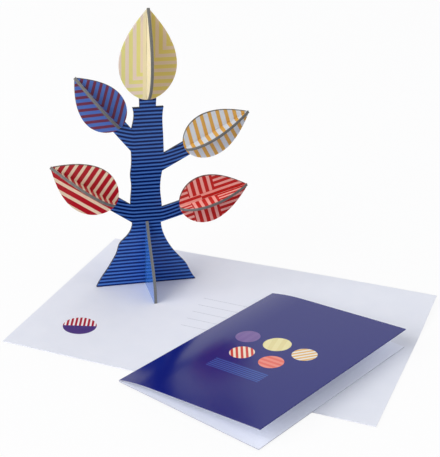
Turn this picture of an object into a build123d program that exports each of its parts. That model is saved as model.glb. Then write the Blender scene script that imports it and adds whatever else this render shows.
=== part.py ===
# Pop-up greeting card set: a slot-together tree of printed greyboard that stands on its envelope,
# with the folded card lying ajar across the envelope's front edge.
# Origin: on the surface that the envelope lies on, below the middle of the tree's foot.
# The tree's board lies in the XZ plane and faces -Y, with +X to its right and +Z up.
import math
import os
from build123d import *

os.makedirs("parts", exist_ok=True)

# Board and the slots that join the pieces of the tree
board_thickness = 2.0
slot_clearance = 0.1
cut_overrun = 5.0

# Trunk of the tree
trunk_height = 123.0
trunk_width = 20.0
flare_height = 38.0
foot_width = 67.0
neck_width = 10.8

# Foot that crosses the trunk
base_fin_height = 45.0
base_fin_depth = 62.0
base_slot_height = 22.0

# Leaf at the top of the trunk
top_leaf_base_height = 128.0
top_leaf_angle = 90.0
top_leaf_length = 58.0
top_leaf_width = 36.6

# Side leaves: the height where the leaf's axis leaves the trunk's middle, the reach along that axis
# to the leaf's base, the axis's angle from +X, and the leaf's own length and width
upper_left_axis_height = 89.0
upper_left_reach = 27.5
upper_left_angle = 129.5
upper_left_length = 44.0
upper_left_width = 28.4

upper_right_axis_height = 80.0
upper_right_reach = 27.9
upper_right_angle = 28.7
upper_right_length = 47.4
upper_right_width = 29.6

lower_left_axis_height = 43.9
lower_left_reach = 25.0
lower_left_angle = 145.4
lower_left_length = 50.0
lower_left_width = 32.0

lower_right_axis_height = 46.1
lower_right_reach = 22.8
lower_right_angle = 16.1
lower_right_length = 47.2
lower_right_width = 33.0

# Branches between the trunk and the side leaves
branch_width = 9.8

# Envelope, lying address side up with its flap tucked into the pocket underneath
envelope_length = 232.0
envelope_width = 160.0
envelope_paper = 0.2
envelope_angle = -35.3
envelope_middle_right = 40.4
envelope_middle_back = -61.2
flap_depth = 64.0
flap_corner_radius = 14.0
pocket_depth = 110.0

# Springy back corner of the envelope: where its bend starts along the back fold and down the right edge,
# then how far it curls up and how far it curls back again, each with the angle that it reaches
curl_start = 20.0
curl_side_depth = 60.0
curl_rise_length = 22.0
curl_rise_angle = 6.5
curl_fall_length = 36.0
curl_end_angle = 1.5

# Folded card
card_height = 145.5
card_width = 101.5
card_stock = 0.45
card_fold_radius = 0.75
cover_spring_length = 24.0
card_angle = 36.1
card_spine_right = 18.4
card_spine_back = -76.8
cover_lift_angle = 15.0
cover_end_angle = 5.3

# Control points of half a leaf's outline, as shares of its length and of its half width, from its round
# base to its tip
leaf_outline_shares = [(0, 0), (0, 0.68), (0.34, 1.63), (0.7, 0.84), (1, 0)]
leaf_slot_share = 0.5
leaf_fin_width_share = 0.76
branch_root_share = 0.85
branch_end_share = 0.3
neck_root_share = 0.8

# Edges of the flared foot, as shares of how far it stands out of the trunk and of the flare's height
flare_left_shares = [
    (1, 0), (0.82, 0.2), (0.66, 0.35), (0.54, 0.48), (0.42, 0.63), (0.34, 0.79), (0.17, 0.9),
]
flare_right_shares = [
    (1, 0), (0.82, 0.19), (0.73, 0.3), (0.56, 0.43), (0.42, 0.53), (0.3, 0.63), (0.14, 0.8),
]
# Edges of the trunk above the flare, as shares of its half width and of its height
trunk_left_shares = [
    (0.97, 0.345), (1.0, 0.39), (1.08, 0.5), (1.03, 0.58), (1.1, 0.63), (1.05, 0.67),
    (1.06, 0.78), (1.03, 0.885), (0.92, 0.925), (0.97, 1),
]
trunk_right_shares = [
    (0.93, 0.355), (0.98, 0.44), (0.93, 0.485), (0.86, 0.535), (0.91, 0.62), (1.06, 0.7),
    (1.05, 0.765), (1.0, 0.855), (0.94, 0.94), (1.01, 1),
]
neck_waist_share = 0.94
# Edge of the crossing foot, as shares of its half depth and of its height
base_fin_shares = [(1, 0), (0.79, 0.35), (0.4, 0.67), (0.1, 0.94)]
# Slanted sides of the pocket and of the flap, as shares of the envelope's length
pocket_slant_share = 0.09
flap_slant_share = 0.12

# Sizes worked out from the ones above
trunk_half = trunk_width / 2
foot_half = foot_width / 2
slot_width = board_thickness + 2 * slot_clearance
envelope_thickness = 4 * envelope_paper
tree_plane = Plane(origin=(0, 0, envelope_thickness), x_dir=(1, 0, 0), z_dir=(0, -1, 0))

leaves = {
    "top_leaf": (top_leaf_base_height, 0, top_leaf_angle, top_leaf_length, top_leaf_width),
    "upper_left_leaf": (
        upper_left_axis_height, upper_left_reach, upper_left_angle,
        upper_left_length, upper_left_width,
    ),
    "upper_right_leaf": (
        upper_right_axis_height, upper_right_reach, upper_right_angle,
        upper_right_length, upper_right_width,
    ),
    "lower_left_leaf": (
        lower_left_axis_height, lower_left_reach, lower_left_angle,
        lower_left_length, lower_left_width,
    ),
    "lower_right_leaf": (
        lower_right_axis_height, lower_right_reach, lower_right_angle,
        lower_right_length, lower_right_width,
    ),
}


def leaf_planes(axis_height, reach, angle):
    # The leaf's base is the origin and its tip lies along +X, in the board's middle plane and square to it
    along = Vector(math.cos(math.radians(angle)), 0, math.sin(math.radians(angle)))
    across = Vector(-along.Z, 0, along.X)
    base = Vector(0, 0, envelope_thickness + axis_height) + along * reach
    return Plane(base, x_dir=along, z_dir=(0, -1, 0)), Plane(base, x_dir=along, z_dir=across)


def leaf_edge(length, width):
    # Half of a teardrop, from its round end at the origin to its tip
    return [(length * along, width / 2 * out) for along, out in leaf_outline_shares]


def trunk_edge(flare_shares, trunk_shares, side):
    # Points up one side of the trunk, from the foot's corner to the shoulder
    spread = foot_half - trunk_half
    flare = [(side * (trunk_half + spread * out), flare_height * up) for out, up in flare_shares]
    trunk = [(side * trunk_half * out, trunk_height * up) for out, up in trunk_shares]
    return flare + trunk


# Tree board: trunk, branches and leaf plates cut as one, with a slot for each crossing piece
with BuildPart() as tree_board:
    with BuildSketch(tree_plane):
        with BuildLine():
            left_edge = Spline(trunk_edge(flare_left_shares, trunk_left_shares, -1))
            right_edge = Spline(trunk_edge(flare_right_shares, trunk_right_shares, 1))
            Line(left_edge @ 0, right_edge @ 0)
            Line(left_edge @ 1, right_edge @ 1)
        make_face()
        with BuildLine():
            neck_foot = trunk_height * neck_root_share
            neck_head = top_leaf_base_height + board_thickness
            neck_side = ThreePointArc(
                (-neck_width / 2, neck_foot),
                (-neck_width / 2 * neck_waist_share, (neck_foot + neck_head) / 2),
                (-neck_width / 2, neck_head),
            )
            mirror(neck_side, about=Plane.YZ)
            Line(neck_side @ 0, (neck_width / 2, neck_foot))
            Line(neck_side @ 1, (neck_width / 2, neck_head))
        make_face()
        with Locations((0, 0)):
            Rectangle(slot_width, 2 * base_slot_height, mode=Mode.SUBTRACT)
    extrude(amount=board_thickness / 2, both=True)
    for axis_height, reach, angle, length, width in leaves.values():
        board_plane = leaf_planes(axis_height, reach, angle)[0]
        with BuildSketch(board_plane):
            with BuildLine():
                Bezier(*leaf_edge(length, width))
                mirror(about=Plane.XZ)
            make_face()
            if reach:
                root = -reach + trunk_half * branch_root_share
                end = length * branch_end_share
                with Locations(((root + end) / 2, 0)):
                    Rectangle(end - root, branch_width)
        extrude(amount=board_thickness / 2, both=True)
        with BuildSketch(board_plane):
            slot_end = length + cut_overrun
            slot_floor = length * leaf_slot_share
            with Locations(((slot_floor + slot_end) / 2, 0)):
                Rectangle(slot_end - slot_floor, slot_width)
        extrude(amount=board_thickness, both=True, mode=Mode.SUBTRACT)
tree_board.part.label = "tree_board"

# Base fin: the foot that crosses the trunk, slotted from its top to straddle the board
with BuildPart() as base_fin:
    with BuildSketch(Plane(tree_plane.origin, x_dir=(0, 1, 0), z_dir=(1, 0, 0))):
        with BuildLine():
            fin_points = [(base_fin_depth / 2 * out, base_fin_height * up) for out, up in base_fin_shares]
            fin_edge = Spline(fin_points)
            fin_shoulder = Line(fin_edge @ 1, (slot_width / 2, base_fin_height))
            Line(fin_shoulder @ 1, (0, base_fin_height))
            mirror(about=Plane.YZ)
            Line(fin_edge @ 0, (-base_fin_depth / 2, 0))
        make_face()
        with Locations((0, base_slot_height + base_fin_height / 2)):
            Rectangle(slot_width, base_fin_height, mode=Mode.SUBTRACT)
    extrude(amount=board_thickness / 2, both=True)
base_fin.part.label = "base_fin"

# Leaf fins: one crosses each leaf, slotted from its round end to its middle
leaf_fins = []
for leaf_name, (axis_height, reach, angle, length, width) in leaves.items():
    fin_plane = leaf_planes(axis_height, reach, angle)[1]
    with BuildPart() as leaf_fin:
        with BuildSketch(fin_plane):
            with BuildLine():
                Bezier(*leaf_edge(length, width * leaf_fin_width_share))
                mirror(about=Plane.XZ)
            make_face()
            slot_floor = length * leaf_slot_share
            with Locations(((slot_floor - cut_overrun) / 2, 0)):
                Rectangle(slot_floor + cut_overrun, slot_width, mode=Mode.SUBTRACT)
        extrude(amount=board_thickness / 2, both=True)
    leaf_fin.part.label = leaf_name + "_fin"
    leaf_fins.append(leaf_fin)

# Envelope: one folded sheet, address side up, with its flap tucked into the pocket underneath. Its back
# corner springs up a little: a slab bent about a slanting line is cut to the outline of each layer.
envelope_along = Vector(math.cos(math.radians(envelope_angle)), math.sin(math.radians(envelope_angle)), 0)
envelope_plane = Plane(
    (envelope_middle_right, envelope_middle_back, 0), x_dir=envelope_along, z_dir=(0, 0, 1)
)
half_length = envelope_length / 2
half_width = envelope_width / 2
curl_foot = envelope_plane.from_local_coords(Vector(-half_length + curl_start, half_width))
curl_head = envelope_plane.from_local_coords(Vector(half_length, half_width - curl_side_depth))
curl_line = (curl_head - curl_foot).normalized()
curl_plane = Plane(curl_foot, x_dir=(-curl_line.Y, curl_line.X, 0), z_dir=curl_line)
rise_radius = curl_rise_length / math.radians(curl_rise_angle)
fall_angle = curl_rise_angle - curl_end_angle
fall_radius = curl_fall_length / math.radians(fall_angle)
layer_pair = 2 * envelope_paper
slab_reach = envelope_length + envelope_width

front_outline = [
    (-half_length, -half_width), (half_length, -half_width),
    (half_length, half_width), (-half_length, half_width),
]
pocket_slant = envelope_length * pocket_slant_share
pocket_mouth = half_width - pocket_depth
pocket_outline = [
    (-half_length + pocket_slant, pocket_mouth), (half_length - pocket_slant, pocket_mouth),
    (half_length, half_width), (-half_length, half_width),
]
layers = []
for height, outline in ((0, pocket_outline), (layer_pair, front_outline)):
    with BuildPart() as layer:
        with BuildSketch(curl_plane):
            with BuildLine():
                starts = []
                ends = []
                for level in (height, height + layer_pair):
                    flat = Line((-slab_reach, level), (0, level))
                    rise = JernArc(flat @ 1, flat % 1, rise_radius - level, curl_rise_angle)
                    fall = JernArc(rise @ 1, rise % 1, fall_radius + level, -fall_angle)
                    rest = PolarLine(fall @ 1, slab_reach, direction=fall % 1)
                    starts.append(flat @ 0)
                    ends.append(rest @ 1)
                Line(*starts)
                Line(*ends)
            make_face()
        extrude(amount=slab_reach, both=True)
        with BuildSketch(envelope_plane.offset(-envelope_width)):
            with BuildLine():
                Polyline(*outline, close=True)
            make_face()
        extrude(amount=2 * envelope_width, mode=Mode.INTERSECT)
    layers.append(layer.part)
with BuildPart() as envelope:
    add(layers)
    with BuildSketch(envelope_plane.offset(envelope_paper)):
        with BuildLine():
            flap_slant = envelope_length * flap_slant_share
            flap_edge = -half_width + flap_depth
            FilletPolyline(
                (-half_length, -half_width),
                (-half_length + flap_slant, flap_edge),
                (half_length - flap_slant, flap_edge),
                (half_length, -half_width),
                radius=flap_corner_radius,
            )
            Line((half_length, -half_width), (-half_length, -half_width))
        make_face()
    extrude(amount=envelope_paper)
envelope.part.label = "envelope"

# Folded card: one creased sheet, its back lying flat and its cover springing up from the fold
card_along = Vector(math.cos(math.radians(card_angle)), math.sin(math.radians(card_angle)), 0)
card_across = Vector(card_along.Y, -card_along.X, 0)
card_plane = Plane(
    (card_spine_right, card_spine_back, envelope_thickness), x_dir=card_across, z_dir=-card_along
)
spring_angle = cover_lift_angle - cover_end_angle
spring_radius = cover_spring_length / math.radians(spring_angle)
with BuildPart() as folded_card:
    with BuildSketch(card_plane):
        with BuildLine():
            back_ends = []
            cover_ends = []
            for inset in (0, card_stock):  # outside face, then inside face
                back = Line((card_width, inset), (card_fold_radius, inset))
                fold = JernArc(back @ 1, back % 1, card_fold_radius - inset, cover_lift_angle - 180)
                spring = JernArc(fold @ 1, fold % 1, spring_radius + inset, -spring_angle)
                cover = PolarLine(spring @ 1, card_width - cover_spring_length, direction=spring % 1)
                back_ends.append(back @ 0)
                cover_ends.append(cover @ 1)
            Line(*back_ends)
            Line(*cover_ends)
        make_face()
    extrude(amount=card_height / 2, both=True)
folded_card.part.label = "folded_card"

for piece in [tree_board, base_fin, *leaf_fins, envelope, folded_card]:
    export_step(piece.part, f"parts/{piece.part.label}.step")
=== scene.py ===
# Slot-together board tree standing on its envelope, with the folded card lying ajar in front of it
import math
import bpy
from mathutils import Matrix, Vector

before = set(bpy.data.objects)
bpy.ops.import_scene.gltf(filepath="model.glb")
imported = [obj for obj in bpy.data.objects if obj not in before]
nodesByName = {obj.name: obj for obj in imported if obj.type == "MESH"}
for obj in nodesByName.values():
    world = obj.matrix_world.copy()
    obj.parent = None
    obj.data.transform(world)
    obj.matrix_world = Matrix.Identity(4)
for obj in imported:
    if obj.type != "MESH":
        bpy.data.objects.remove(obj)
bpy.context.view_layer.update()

bpy.ops.object.select_all(action="DESELECT")
print("frame loaded:", len(nodesByName), "nodes")

# Small helpers for the node trees
plainWhite = (1, 1, 1, 1)
upward = (0, 0, 1)
mmPerMetre = 1000.0
printBlur = 0.1  # millimetres over which the edge of a printed round fades


def paint(red, green, blue):  # 0-255 screen colour to a linear one
    def linear(value):
        value /= 255
        return value / 12.92 if value <= 0.04045 else ((value + 0.055) / 1.055) ** 2.4
    return (linear(red), linear(green), linear(blue), 1.0)


def emptyTree(owner):  # the cleared node tree of a material or world
    owner.use_nodes = True
    owner.node_tree.nodes.clear()
    return owner.node_tree


def addNode(tree, kind, inputs=None, **settings):  # an input is either a socket to link or a fixed value
    node = tree.nodes.new(kind)
    for key, value in settings.items():
        setattr(node, key, value)
    for key, value in (inputs or {}).items():
        if isinstance(value, bpy.types.NodeSocket):
            tree.links.new(value, node.inputs[key])
        else:
            node.inputs[key].default_value = value
    return node


def calc(tree, operation, first, second=0.0, third=0.0):  # one Math node
    inputs = {0: first, 1: second, 2: third}
    return addNode(tree, "ShaderNodeMath", inputs, operation=operation).outputs[0]


def dot(tree, vector, axis):
    node = addNode(tree, "ShaderNodeVectorMath", {0: vector, 1: axis}, operation="DOT_PRODUCT")
    return node.outputs["Value"]


def measuredFrom(tree, point, origin):
    return addNode(tree, "ShaderNodeVectorMath", {0: point, 1: origin}, operation="SUBTRACT").outputs[0]


def turned(tree, x, y, degrees):  # distance along an axis turned by these degrees
    angle = math.radians(degrees)
    return calc(tree, "ADD", calc(tree, "MULTIPLY", x, math.cos(angle)), calc(tree, "MULTIPLY", y, math.sin(angle)))


def ramp(tree, value, fromLow, fromHigh, toLow=0.0, toHigh=1.0):  # smooth, clamped
    inputs = {"Value": value, "From Min": fromLow, "From Max": fromHigh, "To Min": toLow, "To Max": toHigh}
    return addNode(tree, "ShaderNodeMapRange", inputs, interpolation_type="SMOOTHSTEP").outputs[0]


def between(tree, value, low, high):
    return calc(tree, "MULTIPLY", calc(tree, "GREATER_THAN", value, low), calc(tree, "LESS_THAN", value, high))


def inRound(tree, x, y, radius):
    squares = calc(tree, "ADD", calc(tree, "MULTIPLY", x, x), calc(tree, "MULTIPLY", y, y))
    return ramp(tree, calc(tree, "SQRT", squares), radius - printBlur, radius + printBlur, 1.0, 0.0)


def noise(tree, point, scale, detail, roughness=0.5):
    inputs = {"Vector": point, "Scale": scale, "Detail": detail, "Roughness": roughness}
    return addNode(tree, "ShaderNodeTexNoise", inputs).outputs[0]


def blendValue(tree, factor, first, second):
    return addNode(tree, "ShaderNodeMix", {0: factor, 2: first, 3: second}).outputs[0]


def blendColor(tree, factor, first, second, blend="MIX"):
    inputs = {0: factor, 6: first, 7: second}
    return addNode(tree, "ShaderNodeMix", inputs, data_type="RGBA", blend_type=blend).outputs[2]


def newGroup(name, inputs, outputs):
    group = bpy.data.node_groups.new(name, "ShaderNodeTree")
    for label, kind, value in inputs:
        socket = group.interface.new_socket(label, in_out="INPUT", socket_type="NodeSocket" + kind)
        if value is not None:
            socket.default_value = value
    for label, kind in outputs:
        group.interface.new_socket(label, in_out="OUTPUT", socket_type="NodeSocket" + kind)
    start = group.nodes.new("NodeGroupInput")
    end = group.nodes.new("NodeGroupOutput")
    return group, start.outputs, end.inputs


def useGroup(tree, group, inputs):
    return addNode(tree, "ShaderNodeGroup", inputs, node_tree=group).outputs


def newMaterial(name):
    material = bpy.data.materials.new(name)
    tree = emptyTree(material)
    shader = tree.nodes.new("ShaderNodeBsdfPrincipled")
    addNode(tree, "ShaderNodeOutputMaterial", {0: shader.outputs[0]})
    coords = tree.nodes.new("ShaderNodeTexCoord").outputs["Object"]
    point = addNode(tree, "ShaderNodeVectorMath", {0: coords, "Scale": mmPerMetre}, operation="SCALE")
    return material, tree, shader, point.outputs[0]  # the point is in millimetres


def setBump(tree, shader, height):  # the height is in millimetres
    inputs = {"Strength": 1.0, "Distance": 1 / mmPerMetre, "Height": height}
    tree.links.new(addNode(tree, "ShaderNodeBump", inputs).outputs[0], shader.inputs["Normal"])


def dress(nodeName, material):
    slots = nodesByName[nodeName].data.materials
    slots.clear()
    slots.append(material)


# Camera at the photo's place
cameraSet = {
    "place": (-0.1501, -0.7255, 0.3813),
    "turn": -15.394,
    "tilt": 24.662,  # down from level
    "roll": 1.956,
    "lens": 98.23, "sensor": 36, "clip": (0.01, 50),
}
cameraData = bpy.data.cameras.new("photoCamera")
cameraData.lens = cameraSet["lens"]
cameraData.sensor_width = cameraSet["sensor"]
cameraData.clip_start, cameraData.clip_end = cameraSet["clip"]
camera = bpy.data.objects.new("photoCamera", cameraData)
bpy.context.scene.collection.objects.link(camera)
turn = Matrix.Rotation(math.radians(cameraSet["turn"]), 4, "Z")
tilt = Matrix.Rotation(math.radians(90 - cameraSet["tilt"]), 4, "X")
roll = Matrix.Rotation(math.radians(cameraSet["roll"]), 4, "Z")
camera.matrix_world = Matrix.Translation(cameraSet["place"]) @ turn @ tilt @ roll
bpy.context.scene.camera = camera
bpy.context.scene.view_settings.view_transform = "Standard"
print("camera placed")

# Studio: one soft key from the left, a surround that lights softly, a white backdrop and a pale floor
keySet = {"place": (-3.1, -0.85, 1.7), "size": 3.4, "power": 136, "aim": (0.02, -0.03, 0.06)}
keyData = bpy.data.lights.new("keySoftbox", "AREA")
keyData.shape = "SQUARE"
keyData.size = keySet["size"]
keyData.energy = keySet["power"]
key = bpy.data.objects.new("keySoftbox", keyData)
bpy.context.scene.collection.objects.link(key)
key.location = keySet["place"]
key.rotation_euler = (Vector(keySet["aim"]) - key.location).to_track_quat("-Z", "Y").to_euler()
key.visible_glossy = False  # the gloss mirrors the white backdrop, not the lamp


def seesWhite(tree):  # mask of the camera, glossy and transmission rays, which see plain white
    path = tree.nodes.new("ShaderNodeLightPath").outputs
    mirrored = calc(tree, "MAXIMUM", path["Is Glossy Ray"], path["Is Transmission Ray"])
    return calc(tree, "MAXIMUM", path["Is Camera Ray"], mirrored)


surroundSet = {
    "color": (0.99, 1.0, 1.045, 1),
    "patches": (  # azimuth from the right, elevation, tightness and level
        (0, 0, 2, 1.2), (0, 90, 2, 0.67), (45, 20, 4, 0.28),
        (68, 5, 60, 1.9), (92, 3, 40, 0.3), (50, 8, 40, 3.17),
    ),
}
world = bpy.data.worlds.new("studioSurround")
bpy.context.scene.world = world
tree = emptyTree(world)
direction = tree.nodes.new("ShaderNodeTexCoord").outputs["Generated"]
level = 0.0
for azimuth, elevation, tightness, patchLevel in surroundSet["patches"]:
    azimuth, elevation = math.radians(azimuth), math.radians(elevation)
    reach = math.cos(elevation)
    toPatch = (math.cos(azimuth) * reach, math.sin(azimuth) * reach, math.sin(elevation))
    facing = calc(tree, "MAXIMUM", dot(tree, direction, toPatch), 0.0)
    level = calc(tree, "MULTIPLY_ADD", calc(tree, "POWER", facing, tightness), patchLevel, level)
surround = addNode(tree, "ShaderNodeBackground", {0: surroundSet["color"], 1: level}).outputs[0]
backdrop = addNode(tree, "ShaderNodeBackground", {0: plainWhite, 1: 1.0}).outputs[0]
mixed = addNode(tree, "ShaderNodeMixShader", {0: seesWhite(tree), 1: surround, 2: backdrop}).outputs[0]
addNode(tree, "ShaderNodeOutputWorld", {0: mixed})

floorSet = {"size": 12, "height": -0.0001, "color": (0.9, 0.9, 0.91, 1), "shadowShare": 0.09}
bpy.ops.mesh.primitive_plane_add(size=floorSet["size"], location=(0, 0, floorSet["height"]))
floor = bpy.context.object
floor.name = "studioFloor"
bpy.ops.object.transform_apply(location=True)
floorMaterial = bpy.data.materials.new("paleFloor")
tree = emptyTree(floorMaterial)
matt = addNode(tree, "ShaderNodeBsdfDiffuse", {"Color": floorSet["color"]}).outputs[0]
glow = addNode(tree, "ShaderNodeEmission", {"Color": plainWhite, "Strength": 1.0}).outputs[0]
glowShare = calc(tree, "MULTIPLY", seesWhite(tree), 1 - floorSet["shadowShare"])  # the rest keeps the shadow
mixed = addNode(tree, "ShaderNodeMixShader", {0: glowShare, 1: matt, 2: glow}).outputs[0]
addNode(tree, "ShaderNodeOutputMaterial", {0: mixed})
floor.data.materials.append(floorMaterial)
print("lights and floor ready")

# Effects that several materials share: paper grain, printed bands, a leaf's own frame and greyboard
grainSet = {"detail": 3.0, "roughness": 0.6, "cloudScale": 0.03, "cloudDetail": 2.0}
grainGroup, given, out = newGroup(
    "paperGrain", [("Point", "Vector", None), ("Size", "Float", 0.5)], [("Height", "Float"), ("Cloud", "Float")])
tree = grainGroup
scale = calc(tree, "DIVIDE", 1.0, given["Size"])
fine = noise(tree, given["Point"], scale, grainSet["detail"], grainSet["roughness"])
cloudScale = calc(tree, "MULTIPLY", scale, grainSet["cloudScale"])
tree.links.new(fine, out["Height"])
tree.links.new(noise(tree, given["Point"], cloudScale, grainSet["cloudDetail"]), out["Cloud"])

bandSet = {"waverScale": 0.11, "waverDetail": 2.0, "blur": 0.025}  # the blur is a share of the period
bandGroup, given, out = newGroup(
    "printedBands",
    [("Point", "Vector", None), ("Phase", "Float", 0.0), ("Period", "Float", 4.0), ("Share", "Float", 0.5),
     ("Wobble", "Float", 0.2)],
    [("Mask", "Float")])
tree = bandGroup
waver = noise(tree, given["Point"], bandSet["waverScale"], bandSet["waverDetail"])
shift = calc(tree, "MULTIPLY", calc(tree, "SUBTRACT", waver, 0.5), given["Wobble"])
turns = calc(tree, "DIVIDE", calc(tree, "ADD", given["Phase"], shift), given["Period"])
fromMiddle = calc(tree, "ABSOLUTE", calc(tree, "SUBTRACT", calc(tree, "FRACT", turns), 0.5))
halfShare = calc(tree, "MULTIPLY", given["Share"], 0.5)
inner = calc(tree, "SUBTRACT", halfShare, bandSet["blur"])
outer = calc(tree, "ADD", halfShare, bandSet["blur"])
tree.links.new(ramp(tree, fromMiddle, inner, outer, 1.0, 0.0), out["Mask"])


def bands(tree, point, phase, period, share, wobble):
    inputs = {"Point": point, "Phase": phase, "Period": period, "Share": share, "Wobble": wobble}
    return useGroup(tree, bandGroup, inputs)["Mask"]


frameGroup, given, out = newGroup(
    "leafFrame",
    [("Point", "Vector", None), ("Base", "Vector", None), ("Along", "Vector", None), ("Across", "Vector", None),
     ("Half Width", "Float", 15.0), ("End Radius", "Float", 12.0)],
    [("Along", "Float"), ("Across", "Float"), ("Inside", "Float")])
tree = frameGroup
fromBase = measuredFrom(tree, given["Point"], given["Base"])
along = dot(tree, fromBase, given["Along"])
across = dot(tree, fromBase, given["Across"])
endWidth = calc(tree, "MULTIPLY", given["End Radius"], 2.0)
bow = calc(tree, "DIVIDE", calc(tree, "MULTIPLY", across, across), endWidth)  # the leaf's round end
pastEnd = calc(tree, "GREATER_THAN", along, bow)
nearAxis = calc(tree, "LESS_THAN", calc(tree, "ABSOLUTE", across), given["Half Width"])
tree.links.new(along, out["Along"])
tree.links.new(across, out["Across"])
tree.links.new(calc(tree, "MULTIPLY", pastEnd, nearAxis), out["Inside"])

coreSet = {
    "grey": paint(142, 142, 138), "dark": paint(104, 104, 102), "darkTo": 0.34, "greyFrom": 0.66,
    "fleckSize": 0.3, "fleckDetail": 3.0, "fleckRoughness": 0.6, "plySize": 0.42, "plyDetail": 2.0, "plyShare": 0.45,
}
coreGroup, given, out = newGroup(
    "greyboardCore", [("Point", "Vector", None), ("Through", "Float", 0.0)],
    [("Color", "Color"), ("Height", "Float")])
tree = coreGroup
flecks = noise(tree, given["Point"], 1 / coreSet["fleckSize"], coreSet["fleckDetail"], coreSet["fleckRoughness"])
plyInputs = {"W": given["Through"], "Scale": 1 / coreSet["plySize"], "Detail": coreSet["plyDetail"]}
plies = addNode(tree, "ShaderNodeTexNoise", plyInputs, noise_dimensions="1D").outputs[0]
texture = blendValue(tree, coreSet["plyShare"], flecks, plies)
greyness = ramp(tree, texture, coreSet["darkTo"], coreSet["greyFrom"])
tree.links.new(blendColor(tree, greyness, coreSet["dark"], coreSet["grey"]), out["Color"])
tree.links.new(texture, out["Height"])
print("shared node groups built")


# Printed patterns of the trunk and the leaves, in millimetres along and across them
def printGroup(name):
    return newGroup(
        name, [("Point", "Vector", None), ("Along", "Float", 0.0), ("Across", "Float", 0.0)], [("Color", "Color")])


trunkPrint = {
    "blue": paint(44, 90, 168), "light": paint(78, 122, 198), "navy": paint(0, 18, 74),
    # the foot's colours are brighter than the trunk's: painted light bounced up from the envelope and base fin
    "bounceLitBlue": paint(50, 108, 200), "bounceLitLight": paint(90, 138, 218), "bounceLitNavy": paint(0, 32, 102),
    "footTop": 50.0, "footFull": 34.0,  # heights between which the foot's colours come in
    "period": 2.5, "navyShare": 0.44, "lightShare": 0.26, "lightShift": 0.5, "wobble": 0.5,
    "trunkHalf": 8.0, "easing": 6.0, "branchSlope": 0.34,  # the stripes rise along the branches
    "stretch": (0.35, 1.0, 1.6),  # of the waver
}
trunkGroup, given, out = printGroup("trunkStripes")
tree = trunkGroup
stretchInputs = {0: given["Point"], 1: trunkPrint["stretch"]}
drawn = addNode(tree, "ShaderNodeVectorMath", stretchInputs, operation="MULTIPLY").outputs[0]
onFoot = ramp(tree, given["Along"], trunkPrint["footFull"], trunkPrint["footTop"], 1.0, 0.0)
outwards = calc(tree, "ABSOLUTE", given["Across"])
beyond = calc(tree, "MAXIMUM", calc(tree, "SUBTRACT", outwards, trunkPrint["trunkHalf"]), 0.0)
easedBy = calc(tree, "ADD", beyond, trunkPrint["easing"])
eased = calc(tree, "DIVIDE", calc(tree, "MULTIPLY", beyond, beyond), easedBy)
slope = calc(tree, "MULTIPLY", calc(tree, "SUBTRACT", 1.0, onFoot), trunkPrint["branchSlope"])
raised = calc(tree, "SUBTRACT", given["Along"], calc(tree, "MULTIPLY", eased, slope))
# towards the foot the stripes turn brighter, painted light bounced up from the envelope and base fin
blue = blendColor(tree, onFoot, trunkPrint["blue"], trunkPrint["bounceLitBlue"])
light = blendColor(tree, onFoot, trunkPrint["light"], trunkPrint["bounceLitLight"])
navy = blendColor(tree, onFoot, trunkPrint["navy"], trunkPrint["bounceLitNavy"])
mask = bands(tree, drawn, raised, trunkPrint["period"], trunkPrint["navyShare"], trunkPrint["wobble"])
lightPhase = calc(tree, "ADD", raised, trunkPrint["period"] * trunkPrint["lightShift"])
lightMask = bands(tree, drawn, lightPhase, trunkPrint["period"], trunkPrint["lightShare"], trunkPrint["wobble"])
striped = blendColor(tree, mask, blue, navy)
tree.links.new(blendColor(tree, lightMask, striped, light), out["Color"])

yellowPrint = {
    "yellow": paint(238, 230, 146), "pink": paint(242, 222, 206),
    "shadedRightYellow": paint(230, 206, 108), "shadedRightPink": paint(232, 204, 168),  # the right half is darker: painted shade of the fin, which keeps the key light off it
    "cream": paint(246, 234, 196), "creamHalf": 3.3,
    "period": 4.7, "share": 0.52, "wobble": 0.25,
    "leftCorner": 22.6, "leftShift": 0.95, "rightCorner": 22.6, "rightShift": -0.75,
}
yellowGroup, given, out = printGroup("yellowLeafStripes")
tree = yellowGroup
outwards = calc(tree, "ABSOLUTE", given["Across"])
leftPhase = calc(tree, "MAXIMUM", outwards, calc(tree, "SUBTRACT", yellowPrint["leftCorner"], given["Along"]))
leftPhase = calc(tree, "ADD", leftPhase, yellowPrint["leftShift"])
rightPhase = calc(tree, "MINIMUM", outwards, calc(tree, "SUBTRACT", given["Along"], yellowPrint["rightCorner"]))
rightPhase = calc(tree, "ADD", rightPhase, yellowPrint["rightShift"])
isLeft = calc(tree, "GREATER_THAN", given["Across"], 0.0)
phase = blendValue(tree, isLeft, rightPhase, leftPhase)
mask = bands(tree, given["Point"], phase, yellowPrint["period"], yellowPrint["share"], yellowPrint["wobble"])
# the right half takes the darker colours, painted shade of the fin
yellow = blendColor(tree, isLeft, yellowPrint["shadedRightYellow"], yellowPrint["yellow"])
pink = blendColor(tree, isLeft, yellowPrint["shadedRightPink"], yellowPrint["pink"])
striped = blendColor(tree, mask, pink, yellow)
nearAxis = calc(tree, "MULTIPLY", calc(tree, "LESS_THAN", outwards, yellowPrint["creamHalf"]), isLeft)
tree.links.new(blendColor(tree, nearAxis, striped, yellowPrint["cream"]), out["Color"])

maroonPrint = {"blue": paint(86, 122, 200), "maroon": paint(124, 52, 80),
               "period": 4.15, "share": 0.45, "wobble": 0.3, "slant": 36}
maroonGroup, given, out = printGroup("maroonLeafStripes")
tree = maroonGroup
slant = math.radians(maroonPrint["slant"])
slid = calc(tree, "MULTIPLY", calc(tree, "ABSOLUTE", given["Across"]), -math.sin(slant))
phase = calc(tree, "MULTIPLY_ADD", given["Along"], math.cos(slant), slid)
mask = bands(tree, given["Point"], phase, maroonPrint["period"], maroonPrint["share"], maroonPrint["wobble"])
tree.links.new(blendColor(tree, mask, maroonPrint["blue"], maroonPrint["maroon"]), out["Color"])

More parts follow.
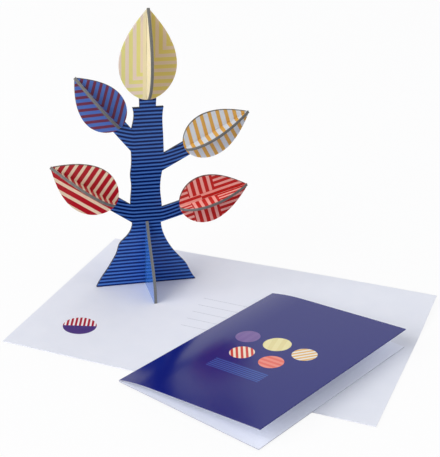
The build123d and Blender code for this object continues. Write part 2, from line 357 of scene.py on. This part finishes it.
orangePrint = {"orange": paint(226, 172, 84), "white": paint(222, 228, 236),
               "period": 5.4, "share": 0.44, "wobble": 0.3, "lean": 0.22, "shift": -2.7}
orangeGroup, given, out = printGroup("orangeLeafStripes")
tree = orangeGroup
upper = calc(tree, "MAXIMUM", given["Across"], 0.0)
phase = calc(tree, "MULTIPLY_ADD", upper, -orangePrint["lean"], given["Along"])
phase = calc(tree, "ADD", phase, orangePrint["shift"])
mask = bands(tree, given["Point"], phase, orangePrint["period"], orangePrint["share"], orangePrint["wobble"])
tree.links.new(blendColor(tree, mask, orangePrint["white"], orangePrint["orange"]), out["Color"])

redPrint = {"red": paint(192, 26, 40), "cream": paint(252, 230, 198),
            "period": 4.9, "creamShare": 0.4, "wobble": 0.3, "lowPeriod": 5.2, "lowShift": 2.6}
redGroup, given, out = printGroup("redLeafStripes")
tree = redGroup
isLow = calc(tree, "GREATER_THAN", given["Across"], 0.0)
phase = blendValue(tree, isLow, given["Along"], calc(tree, "ADD", given["Across"], redPrint["lowShift"]))
period = blendValue(tree, isLow, redPrint["period"], redPrint["lowPeriod"])
mask = bands(tree, given["Point"], phase, period, redPrint["creamShare"], redPrint["wobble"])
tree.links.new(blendColor(tree, mask, redPrint["red"], redPrint["cream"]), out["Color"])

parquetPrint = {
    "red": paint(204, 44, 40), "pink": paint(255, 184, 172), "period": 3.7, "share": 0.44, "wobble": 0.25,
    "baseShift": 0.25, "tipShift": 1.65, "tipFrom": 15.6, "bandHalf": 4.9,
    "blockFrom": 7.6, "blockTo": 25.6, "blockPeriod": 4.45, "blockShift": -7.2,
}
parquetGroup, given, out = printGroup("parquetLeafStripes")
tree = parquetGroup
outwards = calc(tree, "ABSOLUTE", given["Across"])
besideBand = calc(tree, "GREATER_THAN", outwards, parquetPrint["bandHalf"])
inBlock = between(tree, given["Along"], parquetPrint["blockFrom"], parquetPrint["blockTo"])
inBlock = calc(tree, "MULTIPLY", inBlock, besideBand)
nearTip = calc(tree, "GREATER_THAN", given["Along"], parquetPrint["tipFrom"])
longShift = blendValue(tree, nearTip, parquetPrint["baseShift"], parquetPrint["tipShift"])
longPhase = calc(tree, "ADD", outwards, longShift)
crossPhase = calc(tree, "ADD", given["Along"], parquetPrint["blockShift"])
phase = blendValue(tree, inBlock, longPhase, crossPhase)
period = blendValue(tree, inBlock, parquetPrint["period"], parquetPrint["blockPeriod"])
mask = bands(tree, given["Point"], phase, period, parquetPrint["share"], parquetPrint["wobble"])
tree.links.new(blendColor(tree, mask, parquetPrint["red"], parquetPrint["pink"]), out["Color"])
print("prints built")

# Where the leaves are on the tree, in millimetres: base point, axis angle and width
leafSet = {
    "top_leaf": {"base": (0, 128.8), "angle": 90, "width": 36.6, "print": yellowGroup,
                 "edgeShow": 0.65, "finTint": {"color": paint(231, 222, 194), "amount": 0.85}},
    "upper_left_leaf": {"base": (-17.5, 111.0), "angle": 129.5, "width": 28.4, "print": maroonGroup},
    "upper_right_leaf": {"base": (24.5, 94.2), "angle": 28.7, "width": 29.6, "print": orangeGroup},
    "lower_left_leaf": {"base": (-20.6, 58.9), "angle": 145.4, "width": 32.0, "print": redGroup},
    "lower_right_leaf": {"base": (21.9, 53.2), "angle": 16.1, "width": 33.0, "print": parquetGroup,
                         "finShift": 3.4},
}


def leafAxes(leaf):  # base point, the leaf's axis and the direction across it
    angle = math.radians(leaf["angle"])
    base = (leaf["base"][0], 0, leaf["base"][1])
    return base, (math.cos(angle), 0, math.sin(angle)), (-math.sin(angle), 0, math.cos(angle))


boardSet = {
    "half": 1.0, "skin": 0.03, "glossRoughness": 0.14, "coreRoughness": 0.85, "ior": 1.27,
    "edgeInk": 0.75, "finEdgeInk": 0.1, "peelSize": 2.2, "peelDetail": 1.0, "peelDepth": 0.004, "coreDepth": 0.08,
    "leafMargin": 0.8, "leafEnd": 0.38,  # beside a leaf's half width, and its end's radius as a share of its width
}


# Laminated print on both faces and grey core on the cut edges; through is the distance from the middle plane
def finishBoard(tree, shader, point, through, printColor, edgeInk, edgeShow=0.0, coat=0.0):
    onFace = calc(tree, "GREATER_THAN", calc(tree, "ABSOLUTE", through), boardSet["half"] - boardSet["skin"])
    core = useGroup(tree, coreGroup, {"Point": point, "Through": through})
    edgeColor = blendColor(tree, edgeInk, core["Color"], printColor, "MULTIPLY")  # some ink runs over the cut edge
    edgeColor = blendColor(tree, edgeShow, edgeColor, printColor)  # and hides the grey where the print is pale
    color = blendColor(tree, onFace, edgeColor, printColor)
    tree.links.new(color, shader.inputs["Base Color"])
    roughness = blendValue(tree, onFace, boardSet["coreRoughness"], boardSet["glossRoughness"])
    tree.links.new(roughness, shader.inputs["Roughness"])
    shader.inputs["IOR"].default_value = boardSet["ior"]
    if coat:
        tree.links.new(calc(tree, "MULTIPLY", onFace, coat), shader.inputs["Coat Weight"])
    peel = noise(tree, point, 1 / boardSet["peelSize"], boardSet["peelDetail"])
    peelHeight = calc(tree, "MULTIPLY", peel, boardSet["peelDepth"])
    coreHeight = calc(tree, "MULTIPLY", core["Height"], boardSet["coreDepth"])
    setBump(tree, shader, blendValue(tree, onFace, coreHeight, peelHeight))


# Tree board: trunk stripes, with each leaf's print laid over them
material, tree, shader, point = newMaterial("treeBoardPrint")
x, y, z = addNode(tree, "ShaderNodeSeparateXYZ", {0: point}).outputs
color = useGroup(tree, trunkGroup, {"Point": point, "Along": z, "Across": x})["Color"]
edgeShow = 0.0
for leaf in leafSet.values():
    base, alongAxis, acrossAxis = leafAxes(leaf)
    place = useGroup(tree, frameGroup, {
        "Point": point, "Base": base, "Along": alongAxis, "Across": acrossAxis,
        "Half Width": leaf["width"] / 2 + boardSet["leafMargin"], "End Radius": leaf["width"] * boardSet["leafEnd"]})
    printInputs = {"Point": point, "Along": place["Along"], "Across": place["Across"]}
    color = blendColor(tree, place["Inside"], color, useGroup(tree, leaf["print"], printInputs)["Color"])
    if "edgeShow" in leaf:
        edgeShow = calc(tree, "MULTIPLY_ADD", place["Inside"], leaf["edgeShow"], edgeShow)
finishBoard(tree, shader, point, y, color, boardSet["edgeInk"], edgeShow)
dress("tree_board", material)

# Base fin: azure with thin lighter lines on both of its faces, glossy enough to mirror the envelope
baseFinSet = {
    "azure": paint(30, 98, 184), "line": paint(78, 132, 206), "period": 2.4, "lineShare": 0.3, "wobble": 0.4,
    "ior": 1.7, "coat": 0.6, "coatRoughness": 0.08,
}
material, tree, shader, point = newMaterial("baseFinPrint")
x, y, z = addNode(tree, "ShaderNodeSeparateXYZ", {0: point}).outputs
lines = bands(tree, point, z, baseFinSet["period"], baseFinSet["lineShare"], baseFinSet["wobble"])
color = blendColor(tree, lines, baseFinSet["azure"], baseFinSet["line"])
finishBoard(tree, shader, point, x, color, boardSet["finEdgeInk"], coat=baseFinSet["coat"])
shader.inputs["IOR"].default_value = baseFinSet["ior"]
shader.inputs["Coat Roughness"].default_value = baseFinSet["coatRoughness"]
dress("base_fin", material)

# Leaf fins: each carries its leaf's print, measured out from the board
for leafName, leaf in leafSet.items():
    material, tree, shader, point = newMaterial(leafName + "FinPrint")
    base, alongAxis, acrossAxis = leafAxes(leaf)
    place = useGroup(tree, frameGroup, {"Point": point, "Base": base, "Along": alongAxis, "Across": (0, 1, 0)})
    across = place["Across"]
    if "finShift" in leaf:
        across = calc(tree, "ADD", calc(tree, "ABSOLUTE", across), leaf["finShift"])
    color = useGroup(tree, leaf["print"], {"Point": point, "Along": place["Along"], "Across": across})["Color"]
    if "finTint" in leaf:
        color = blendColor(tree, leaf["finTint"]["amount"], color, leaf["finTint"]["color"])
    through = dot(tree, measuredFrom(tree, point, base), acrossAxis)
    finishBoard(tree, shader, point, through, color, boardSet["finEdgeInk"])
    dress(leafName + "_fin", material)
print("tree finished")

# Envelope: uncoated paper with address lines and a small round badge where the stamp goes
envelopeSet = {
    "middle": (40.4, -61.2, 0), "angle": -35.3,
    "paper": paint(238, 240, 247), "shade": paint(231, 234, 243), "roughness": 0.82, "specular": 0.3,
    "grainSize": 0.45, "grainDepth": 0.03, "cloudDepth": 0.25, "topFacing": 0.5,
    "linePlaces": (21.0, 11.3, 1.5, -8.2, -17.8), "lineFrom": -25.0, "lineTo": 70.0,
    "lineHalf": 0.16, "lineBlur": 0.4, "ink": paint(180, 184, 194),
    "badge": (-82.0, -44.5), "badgeRadius": 10.5, "badgeTurn": 20, "badgeWobble": 0.1,
    "badgeRed": paint(168, 26, 52), "badgeWhite": paint(244, 236, 236), "whitePeriod": 2.6, "whiteShare": 0.45,
    "badgePurple": paint(62, 42, 112), "badgeLine": paint(92, 62, 132), "linePeriod": 1.5, "lineShare": 0.35,
}
material, tree, shader, point = newMaterial("envelopePaper")
angle = math.radians(envelopeSet["angle"])
fromMiddle = measuredFrom(tree, point, envelopeSet["middle"])
sideways = dot(tree, fromMiddle, (math.cos(angle), math.sin(angle), 0))
upwards = dot(tree, fromMiddle, (-math.sin(angle), math.cos(angle), 0))
grain = useGroup(tree, grainGroup, {"Point": point, "Size": envelopeSet["grainSize"]})
color = blendColor(tree, grain["Cloud"], envelopeSet["shade"], envelopeSet["paper"])
normal = tree.nodes.new("ShaderNodeNewGeometry").outputs["True Normal"]
onTop = calc(tree, "GREATER_THAN", dot(tree, normal, upward), envelopeSet["topFacing"])
inSpan = between(tree, sideways, envelopeSet["lineFrom"], envelopeSet["lineTo"])
lineInner = envelopeSet["lineHalf"] * (1 - envelopeSet["lineBlur"])
lineOuter = envelopeSet["lineHalf"] * (1 + envelopeSet["lineBlur"])
for linePlace in envelopeSet["linePlaces"]:
    away = calc(tree, "ABSOLUTE", calc(tree, "SUBTRACT", upwards, linePlace))
    ink = calc(tree, "MULTIPLY", ramp(tree, away, lineInner, lineOuter, 1.0, 0.0), inSpan)
    color = blendColor(tree, calc(tree, "MULTIPLY", ink, onTop), color, envelopeSet["ink"])
badgeX = calc(tree, "SUBTRACT", sideways, envelopeSet["badge"][0])
badgeY = calc(tree, "SUBTRACT", upwards, envelopeSet["badge"][1])
inBadge = calc(tree, "MULTIPLY", inRound(tree, badgeX, badgeY, envelopeSet["badgeRadius"]), onTop)
badgeU = turned(tree, badgeX, badgeY, envelopeSet["badgeTurn"])
badgeV = turned(tree, badgeX, badgeY, envelopeSet["badgeTurn"] + 90)
whites = bands(tree, point, badgeU, envelopeSet["whitePeriod"], envelopeSet["whiteShare"], envelopeSet["badgeWobble"])
lines = bands(tree, point, badgeV, envelopeSet["linePeriod"], envelopeSet["lineShare"], envelopeSet["badgeWobble"])
redHalf = blendColor(tree, whites, envelopeSet["badgeRed"], envelopeSet["badgeWhite"])
purpleHalf = blendColor(tree, lines, envelopeSet["badgePurple"], envelopeSet["badgeLine"])
badgeColor = blendColor(tree, calc(tree, "GREATER_THAN", badgeV, 0.0), purpleHalf, redHalf)
tree.links.new(blendColor(tree, inBadge, color, badgeColor), shader.inputs["Base Color"])
shader.inputs["Roughness"].default_value = envelopeSet["roughness"]
shader.inputs["Specular IOR Level"].default_value = envelopeSet["specular"]
waves = calc(tree, "MULTIPLY", grain["Cloud"], envelopeSet["cloudDepth"])
setBump(tree, shader, calc(tree, "MULTIPLY_ADD", grain["Height"], envelopeSet["grainDepth"], waves))
dress("envelope", material)
print("envelope finished")

# Folded card: gloss navy cover with striped discs over a striped bar, matt white inside
cardSet = {
    "spine": (18.4, -76.8, 0.8), "angle": 36.1,
    "navy": paint(8, 18, 114), "inside": paint(242, 245, 255), "cut": paint(176, 178, 192),
    "glossRoughness": 0.18, "insideRoughness": 0.75, "ior": 1.365, "grainSize": 0.4, "grainDepth": 0.012,
    "facing": 0.3,  # least share of a normal that counts as facing a side
    "coverFrom": 1.0, "backTo": 0.2, "foldTo": 1.5,  # heights above and distance from the spine
    "barMiddle": (50.0, -27.0), "barHalf": (19.0, 5.5), "barBlue": paint(44, 84, 168), "barNavy": paint(22, 34, 118),
    "barPeriod": 1.9, "barShare": 0.5, "barWobble": 0.4, "discShare": 0.5, "discWobble": 0.2,
    "discs": (  # place, radius, the two colours, and the stripes' period and turn
        ((39.0, -8.5), 7.6, paint(206, 62, 52), paint(246, 228, 206), 3.0, 40),
        ((60.5, -8.5), 7.6, paint(232, 108, 92), paint(240, 140, 124), 4.2, 90),
        ((29.0, 10.0), 7.6, paint(112, 84, 150), paint(118, 90, 154), 5.0, 0),
        ((50.0, 11.5), 8.6, paint(236, 226, 168), paint(230, 218, 156), 6.0, 20),
        ((71.0, 10.0), 7.6, paint(226, 176, 98), paint(238, 234, 222), 3.2, -35),
    ),
}
material, tree, shader, point = newMaterial("foldedCardStock")
angle = math.radians(cardSet["angle"])
fromSpine = measuredFrom(tree, point, cardSet["spine"])
spineward = dot(tree, fromSpine, (math.cos(angle), math.sin(angle), 0))
outward = dot(tree, fromSpine, (math.sin(angle), -math.cos(angle), 0))
lift = dot(tree, fromSpine, upward)
normal = tree.nodes.new("ShaderNodeNewGeometry").outputs["True Normal"]
facingUp = dot(tree, normal, upward)
facingSpine = dot(tree, normal, (-math.sin(angle), math.cos(angle), 0))
upperSide = calc(tree, "GREATER_THAN", facingUp, cardSet["facing"])
underside = calc(tree, "LESS_THAN", facingUp, -cardSet["facing"])
spineSide = calc(tree, "GREATER_THAN", facingSpine, cardSet["facing"])
onCover = calc(tree, "MULTIPLY", upperSide, calc(tree, "GREATER_THAN", lift, cardSet["coverFrom"]))
onBack = calc(tree, "MULTIPLY", underside, calc(tree, "LESS_THAN", lift, cardSet["backTo"]))
onFold = calc(tree, "MULTIPLY", spineSide, calc(tree, "LESS_THAN", outward, cardSet["foldTo"]))
outside = calc(tree, "MAXIMUM", calc(tree, "MAXIMUM", onCover, onBack), onFold)
barX = calc(tree, "ABSOLUTE", calc(tree, "SUBTRACT", outward, cardSet["barMiddle"][0]))
barY = calc(tree, "ABSOLUTE", calc(tree, "SUBTRACT", spineward, cardSet["barMiddle"][1]))
inLength = calc(tree, "LESS_THAN", barX, cardSet["barHalf"][0])
inBar = calc(tree, "MULTIPLY", inLength, calc(tree, "LESS_THAN", barY, cardSet["barHalf"][1]))
barLines = bands(tree, point, spineward, cardSet["barPeriod"], cardSet["barShare"], cardSet["barWobble"])
barColor = blendColor(tree, barLines, cardSet["barBlue"], cardSet["barNavy"])
color = blendColor(tree, calc(tree, "MULTIPLY", inBar, onCover), cardSet["navy"], barColor)
for place, radius, first, second, period, discTurn in cardSet["discs"]:
    discX = calc(tree, "SUBTRACT", outward, place[0])
    discY = calc(tree, "SUBTRACT", spineward, place[1])
    inDisc = calc(tree, "MULTIPLY", inRound(tree, discX, discY, radius), onCover)
    phase = turned(tree, discX, discY, discTurn)
    mask = bands(tree, point, phase, period, cardSet["discShare"], cardSet["discWobble"])
    color = blendColor(tree, inDisc, color, blendColor(tree, mask, first, second))
# the cut edges of the white card are painted grey: painted shade, the thin shadow line along the card's edges
onCut = calc(tree, "LESS_THAN", calc(tree, "ABSOLUTE", facingUp), cardSet["facing"])
inner = blendColor(tree, onCut, cardSet["inside"], cardSet["cut"])
tree.links.new(blendColor(tree, outside, inner, color), shader.inputs["Base Color"])
roughness = blendValue(tree, outside, cardSet["insideRoughness"], cardSet["glossRoughness"])
tree.links.new(roughness, shader.inputs["Roughness"])
shader.inputs["IOR"].default_value = cardSet["ior"]
grain = useGroup(tree, grainGroup, {"Point": point, "Size": cardSet["grainSize"]})
setBump(tree, shader, calc(tree, "MULTIPLY", grain["Height"], cardSet["grainDepth"]))
dress("folded_card", material)
print("card finished")
